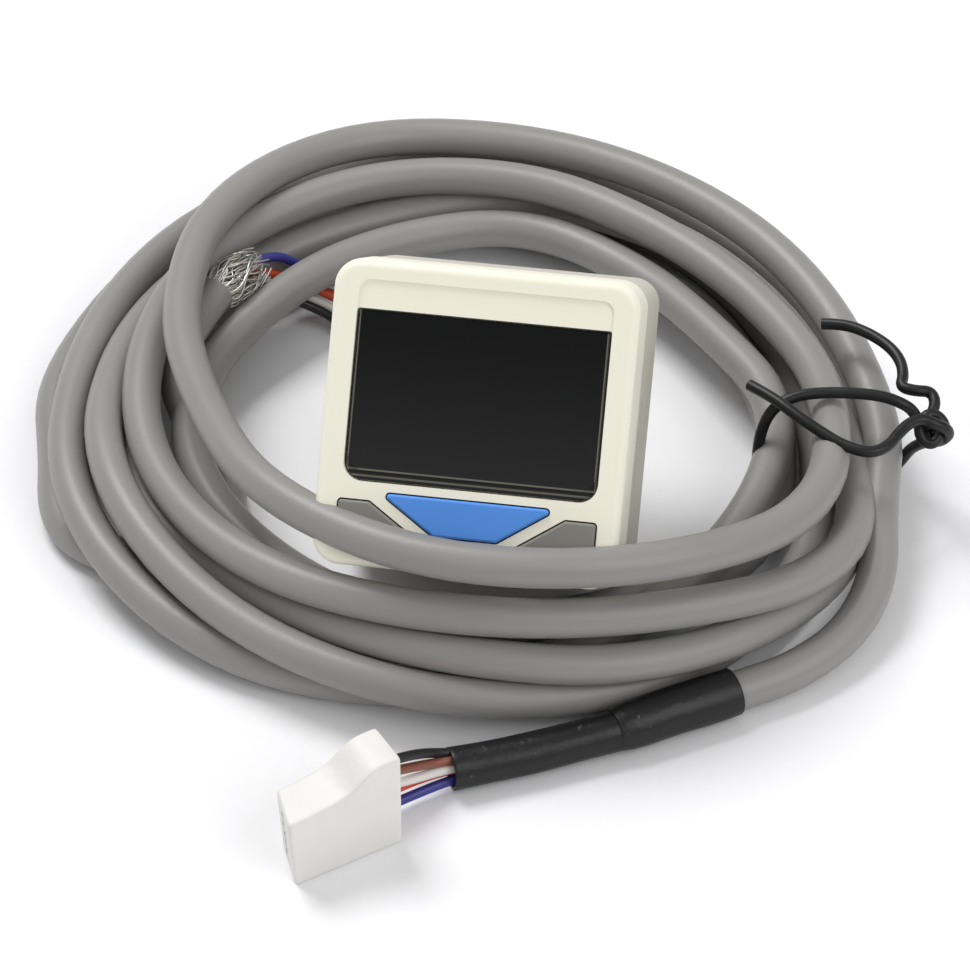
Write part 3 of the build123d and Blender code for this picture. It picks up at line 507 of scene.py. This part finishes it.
STEP_LIFTS = ((-0.001, 0.0035, 0.0030), (0.0035, 0.0050, 0.0020), (0.0050, 0.0065, 0.0008), (0.0065, 0.0080, 0.0004))
for low, high, lift in STEP_LIFTS:
    shift_corners(plug, between(low, high), (0.0, 0.0, lift))
nose_from = PLUG_LENGTH - PLUG_EDGE * 1.5
shift_corners(plug, lambda place: (place - PLUG_FOOT).dot(plug_ahead) > nose_from and
              (place - PLUG_FOOT).dot(plug_across) < -PLUG_THICKNESS / 4, -plug_ahead * 0.0012)
shift_corners(plug, lambda place: (place - PLUG_FOOT).dot(plug_ahead) > nose_from - 0.0013 and
              place.z < PLUG_NOSE_HEIGHT / 2, -plug_ahead * 0.0005)
bake_modifier(plug, "SUBSURF", levels=3, render_levels=3)

SOCKET_RISES = (1.6, 2.9, 4.2, 5.5, 6.8)
SOCKET_FOOT = Vector((-0.0035, -0.0399, 0.0))
SOCKET_SIZE = (0.0090, 0.0016, 0.0009)
SOCKET_MIDDLE = 0.0086
cutters = []
for rise in SOCKET_RISES:
    place = SOCKET_FOOT + plug_ahead * SOCKET_MIDDLE + Vector((0.0, 0.0, rise / 1000.0))
    bpy.ops.object.select_all(action="DESELECT")
    bpy.ops.mesh.primitive_cube_add(size=1.0, location=place, rotation=(0.0, 0.0, PLUG_HEADING), scale=SOCKET_SIZE)
    cutters.append(bpy.context.object)
for cutter in cutters:
    cutter.select_set(True)
bpy.ops.object.join()
socket_cutter = bpy.context.object
bpy.ops.object.transform_apply(location=True, rotation=True, scale=True)
bake_modifier(plug, "BOOLEAN", operation="DIFFERENCE", object=socket_cutter, solver="EXACT")
bpy.data.objects.remove(socket_cutter)
activate(plug)
bpy.ops.object.shade_smooth_by_angle(angle=math.radians(35.0))
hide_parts("plug_housing")

plug_book = Book("plug_nylon")
milky = plug_book.noise(260.0, 3.0)
moulded = plug_book.noise(1400.0, 3.0)
plug_paint = plug_book.mix(milky, rgb("dedcd8"), rgb("e6e5e2"))
plug_relief = plug_book.bump(moulded + milky * 3.0, 0.00004)
plug_book.finish(Base_Color=plug_paint, Roughness=0.42 + milky * 0.12, Normal=plug_relief)
dress(plug, "plug_white", plug_book.material)
print("plug corners", len(plug.data.vertices))

# %% [markdown]
# ## The stripped end
# Where the jacket was cut back, the tinned screen is pushed into a loose tuft, and the five cores
# come out of it. The screen is dozens of hair-thin wires that were once woven. Each wire here is a
# short curve of its own, turned round the axis, pushed out in the middle and let loose at the tip,
# and a fixed seed keeps the same tangle in every run.

# %% Screen wires
STRIPPED_END = Vector((-33.2, 25.2, 9.0))
BRAID_AXIS = Vector((0.45, 0.88, -0.12)).normalized()
BRAID_LENGTH = 7.5
BRAID_WIRES = 84
BRAID_WIRE_DIAMETER = 0.2
braid_across = Vector((-BRAID_AXIS.y, BRAID_AXIS.x, 0.0)).normalized()
braid_rising = BRAID_AXIS.cross(braid_across)
chance = random.Random(11)


def braid_point(along_axis, reach, angle):
    """A place round the axis of the stripped end, in millimetres."""
    out = braid_across * math.cos(angle) + braid_rising * math.sin(angle)
    return tuple(STRIPPED_END + BRAID_AXIS * along_axis + out * reach)


braid_routes = []
for wire in range(BRAID_WIRES):
    angle = math.tau * wire / BRAID_WIRES
    twist = chance.choice((-1.0, 1.0)) * chance.uniform(0.5, 1.5)
    bulge = chance.uniform(1.75, 2.55)
    reach_ahead = BRAID_LENGTH * chance.uniform(0.82, 1.04)
    tip_reach = chance.uniform(0.7, 1.9)
    route = [braid_point(-0.5, 1.62, angle), braid_point(0.2, 1.72, angle + twist * 0.05)]
    for share in (0.2, 0.4, 0.6, 0.8):
        swell = 1.7 + (bulge - 1.7) * math.sin(math.pi * share) + chance.uniform(-0.32, 0.32)
        turn = angle + twist * share + chance.uniform(-0.32, 0.32)
        route.append(braid_point(reach_ahead * share, swell, turn))
    route.append(braid_point(reach_ahead, tip_reach, angle + twist + chance.uniform(-0.3, 0.3)))
    braid_routes.append(route)

braid_book = Book("tinned_wire")
tarnish = braid_book.noise(900.0, 3.0)
braid_paint = braid_book.mix(tarnish, rgb("b9b7b0"), rgb("e2e0da"))
braid_book.finish(Base_Color=braid_paint, Metallic=0.9, Roughness=0.24 + tarnish * 0.16)
braid_curve = smooth_curve("screen_line", braid_routes, BRAID_WIRE_DIAMETER, rounds=1, steps=4)
bpy.context.view_layer.update()
braid_mesh = bpy.data.meshes.new_from_object(braid_curve.evaluated_get(bpy.context.evaluated_depsgraph_get()))
bpy.data.objects.remove(braid_curve)
braid = bpy.data.objects.new("screen_wires", braid_mesh)
bpy.context.scene.collection.objects.link(braid)
activate(braid)
bpy.ops.object.shade_smooth()
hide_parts("shield_braid")
dress(braid, "braid_tin", braid_book.material)
print("screen wires", len(braid.data.polygons), "faces")

# %% Loose cores
END_ROUTES = {
    "blue": ((-30.2, 31.4, 8.6), (-28.4, 33.6, 8.2), (-26.2, 35.2, 5.6), (-22.4, 36.0, 3.0), (-15.8, 35.4, 1.0),
             (-11.2, 30.6, 0.6), (-11.6, 23.4, 0.6)),
    "brown": ((-30.6, 31.0, 7.4), (-28.6, 33.0, 6.2), (-25.4, 34.8, 3.6), (-21.2, 34.9, 1.6), (-16.2, 33.4, 0.8),
              (-12.8, 29.0, 0.6), (-13.2, 21.0, 0.6)),
    "orange": ((-30.6, 30.6, 7.8), (-28.8, 32.2, 6.6), (-26.2, 33.8, 4.6), (-22.3, 33.7, 3.0), (-17.4, 32.4, 1.2),
               (-14.4, 27.6, 0.6), (-14.8, 19.0, 0.6)),
    "white": ((-30.4, 30.2, 7.2), (-28.4, 31.6, 5.8), (-25.6, 32.9, 3.4), (-22.3, 32.8, 2.2), (-18.6, 31.0, 0.9),
              (-16.0, 26.0, 0.6), (-16.4, 16.4, 0.6)),
    "black": ((-30.2, 29.8, 7.0), (-28.0, 31.0, 5.2), (-25.2, 32.0, 3.0), (-22.2, 31.9, 1.8), (-19.4, 29.8, 0.8),
              (-17.6, 24.4, 0.6), (-18.0, 14.0, 0.6)),
}
end_cores = []
for name, route in END_ROUTES.items():
    core = smooth_curve("loose_core_" + name, [route], CORE_DIAMETER, rounds=4, steps=10)
    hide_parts("end_core_" + name)
    dress(core, "core_" + name, core_finishes[name])
    end_cores.append((core, route[0]))

# %% [markdown]
# ## The wire tie
# A coated wire holds the turns together at the right. It goes once round them, its two ends are
# wrapped round each other two or three times outside the coil, and then both tails are left
# lying over the turns. It is stiff wire, so its bends are short and its runs nearly straight. One
# curve through listed points draws all of it, from one tail to the other.

# %% Tie
TIE_ROUTE = (
    (30.8, 24.7, 13.2), (33.0, 24.7, 13.5), (35.6, 23.6, 13.6), (38.0, 21.8, 13.6), (39.4, 19.8, 13.5),
    (39.9, 17.8, 13.2), (39.7, 16.2, 13.0), (41.2, 15.8, 13.0), (42.9, 16.2, 12.8), (43.5, 14.8, 12.4),
    (43.0, 13.4, 11.6), (42.8, 12.2, 10.4), (43.9, 11.7, 9.8), (44.9, 12.3, 10.6), (44.3, 13.4, 11.7),
    (43.0, 13.2, 12.6), (42.0, 12.0, 12.0), (42.4, 10.9, 10.8), (43.6, 10.7, 10.4), (44.3, 11.6, 11.0),
    (43.7, 12.6, 11.6), (42.6, 12.4, 11.2), (41.9, 12.9, 11.6), (41.2, 13.3, 12.6), (40.0, 13.2, 13.5),
    (38.0, 13.5, 13.9), (35.0, 13.4, 14.0), (32.0, 13.1, 13.9), (29.4, 12.4, 13.8), (27.2, 11.2, 13.0),
    (26.1, 10.0, 10.6), (25.9, 9.6, 6.6), (26.6, 9.8, 2.2), (28.6, 10.4, 0.75), (32.6, 11.6, 0.65),
    (36.4, 13.4, 0.75), (39.0, 15.0, 1.7), (40.3, 15.6, 3.5), (41.2, 15.4, 5.4), (42.0, 14.2, 7.2),
    (43.0, 13.0, 8.8), (44.2, 12.2, 9.6), (45.2, 12.0, 10.8), (44.9, 11.4, 12.2), (43.7, 11.0, 13.0),
    (42.4, 11.2, 13.4), (41.3, 10.4, 13.5), (40.3, 9.0, 13.3), (39.4, 6.7, 13.2), (37.6, 5.3, 13.2),
    (34.8, 5.9, 13.4), (32.4, 7.2, 13.8), (29.8, 8.6, 14.4), (27.2, 10.6, 14.8), (24.6, 12.6, 14.4),
)
TIE_DIAMETER = 1.2
tie_book = Book("tie_coating")
worn = tie_book.noise(700.0, 4.0)
tie_relief = tie_book.bump(worn, 0.00003)
tie_paint = tie_book.mix(worn, rgb("0b0c0d"), rgb("141516"))
tie_book.finish(Base_Color=tie_paint, Roughness=0.34 + worn * 0.14, Normal=tie_relief, Specular_IOR_Level=0.4)
tie = smooth_curve("tie_wire", [TIE_ROUTE], TIE_DIAMETER, rounds=5, steps=8)
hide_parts("twist_tie")
dress(tie, "tie_black", tie_book.material)

# %% [markdown]
# ## Finishes of the switch
# The switch's solids already have the shape of the moulded parts, so they keep their meshes and get
# better surfaces. Each finish has a slight cloudiness, a grain at the scale of a moulding tool's
# texture and a gloss that varies with both. The display window is different: it is polished
# acrylic over a dark display, so it is nearly black and mirrors the room faintly. On top of that its
# colour is painted paler towards its foot, a painted reflection of the room's light. The thin pale
# lines near its sides and foot are painted highlights, standing in for light caught on the pane's
# stepped edges; they are placed by their distance from the window's middle and up its face, and
# have no shape of their own.

# %% Finishes of the head
LEAN = math.radians(38.0)
FACE_FOOT = (0.0, -0.020657888, 0.014990765)


def face_height(book):
    """How far up the face a place lies, in metres from the face's foot."""
    across, inwards, upwards = (book.axis(name) for name in "XYZ")
    return (inwards - FACE_FOOT[1]) * math.sin(LEAN) + (upwards - FACE_FOOT[2]) * math.cos(LEAN)


def moulded_finish(name, darker, paler, gloss, grain_scale=2600.0, grain_depth=0.000012, cloud_scale=110.0):
    """Moulded plastic: cloudy colour, tool grain and a gloss that follows them."""
    book = Book(name)
    cloud = book.noise(cloud_scale, 3.0)
    grain = book.noise(grain_scale, 3.0)
    relief = book.bump(grain, grain_depth)
    paint = book.mix(cloud, rgb(darker), rgb(paler))
    return book.finish(Base_Color=paint, Roughness=gloss + grain * 0.08 + cloud * 0.05, Normal=relief)


def metal_finish(name, darker, paler, gloss, stretch=None):
    """Bright metal with faint turning or drawing marks."""
    book = Book(name)
    cloud = book.noise(300.0, 3.0)
    marks = book.noise(2200.0, 3.0, stretch)
    relief = book.bump(marks, 0.000006)
    paint = book.mix(cloud, rgb(darker), rgb(paler))
    return book.finish(Base_Color=paint, Metallic=1.0, Roughness=gloss + marks * 0.14, Normal=relief)


cream = moulded_finish("bezel_cream", "f0ecd9", "f5f2e2", 0.36)
greige = moulded_finish("body_greige", "c6c1b3", "cdc9bc", 0.44)
key_blue = moulded_finish("key_blue", "4a8be0", "5596e8", 0.34)
key_grey = moulded_finish("key_grey", "7a7871", "84827b", 0.38)

FOOT_LINES = (0.0088, 0.0094)
SIDE_LINE = (0.01208, 0.01228)
LINE_WIDTH = 0.0002
LINE_SOFT = 0.00004
window_book = Book("window_tint")
rise = face_height(window_book)
dust = window_book.noise(5200.0, 2.0).above(0.74, 0.03)
haze = window_book.noise(90.0, 2.0)
# Painted reflection: the window goes from a paler dark grey at its foot to near black higher up, standing in for the
# room's light mirrored in the pane.
lower = rise.above(0.014, 0.012)
window_paint = window_book.mix(lower, rgb("29292a"), rgb("050607"))
side = window_book.axis("X")
from_middle = side.math("ABSOLUTE", side, 0.0)
# Painted highlights: thin pale lines at the window's sides and foot stand in for light caught on the pane's stepped
# edges.
painted_edge_highlights = from_middle.above(SIDE_LINE[0], LINE_SOFT) - from_middle.above(SIDE_LINE[1], LINE_SOFT)
for low in FOOT_LINES:
    painted_edge_highlights = painted_edge_highlights + rise.above(low, LINE_SOFT) - rise.above(low + LINE_WIDTH, LINE_SOFT)
window_paint = window_book.mix(painted_edge_highlights * 0.55, window_paint, rgb("8b8a7d"))
window_paint = window_book.mix(dust * 0.06, window_paint, rgb("808080"))
window_book.finish(Base_Color=window_paint, Roughness=0.10 + haze * 0.08 + dust * 0.2, Specular_IOR_Level=0.22)

board_book = Book("solder_mask")
copper = board_book.noise(480.0, 0.0)
tracks = copper.above(0.5, 0.01)
board_paint = board_book.mix(tracks, rgb("0f5a34"), rgb("17703f"))
board_relief = board_book.bump(tracks, 0.00003)
board_book.finish(Base_Color=board_paint, Roughness=0.32 + copper * 0.1, Normal=board_relief)

glass_book = Book("display_glass")
cells = glass_book.noise(2400.0, 1.0)
glass_book.finish(Base_Color=glass_book.mix(cells, rgb("23282a"), rgb("2c3234")), Roughness=0.08 + cells * 0.05)

black_part = moulded_finish("part_black", "161617", "202021", 0.4)
ivory = moulded_finish("header_ivory", "e4e1d6", "ece9df", 0.42)
clear_guide = moulded_finish("guide_clear", "d9e2de", "e3ebe7", 0.16)
rubber = moulded_finish("seal_rubber", "131313", "1c1c1c", 0.6)
nickel = metal_finish("port_nickel", "b4b2ab", "cbc9c2", 0.24, (1.0, 4.0, 4.0))
brass = metal_finish("insert_brass", "b98f45", "cda558", 0.26)
contact = metal_finish("contact_plate", "c3b27c", "d8c993", 0.2)
can = metal_finish("can_aluminium", "bfc1c3", "d2d4d6", 0.3)

NODE_FINISHES = {
    "front_bezel": cream, "rear_body": greige, "display_window": window_book.material,
    "display_glass": glass_book.material, "light_guide": clear_guide, "display_pins": contact,
    "display_board": board_book.material, "main_board": board_book.material,
    "set_button": key_blue, "up_button": key_grey, "down_button": key_grey,
    "set_plunger": black_part, "up_plunger": black_part, "down_plunger": black_part,
    "tact_switches": black_part, "board_header": black_part, "controller_chip": black_part,
    "board_capacitors": can, "sensor_capsule": nickel, "sensor_seal": rubber, "port_fitting": nickel,
    "connector_header": ivory, "connector_pins": contact, "bracket_inserts": brass, "plug_contacts": contact,
}
for name, material in NODE_FINISHES.items():
    for material_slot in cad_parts[name].material_slots:
        material_slot.material = material

# %% Finish
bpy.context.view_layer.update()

on_the_lead = ["sleeve_lead", "sleeve_wires", "plug_body", "plug_contacts", "tie_wire", "screen_wires"]
on_the_lead += [core.name for core in plug_cores]
[v / 1000.0 for v in lead_points[0]]
for core, start in end_cores:
    [v / 1000.0 for v in start]
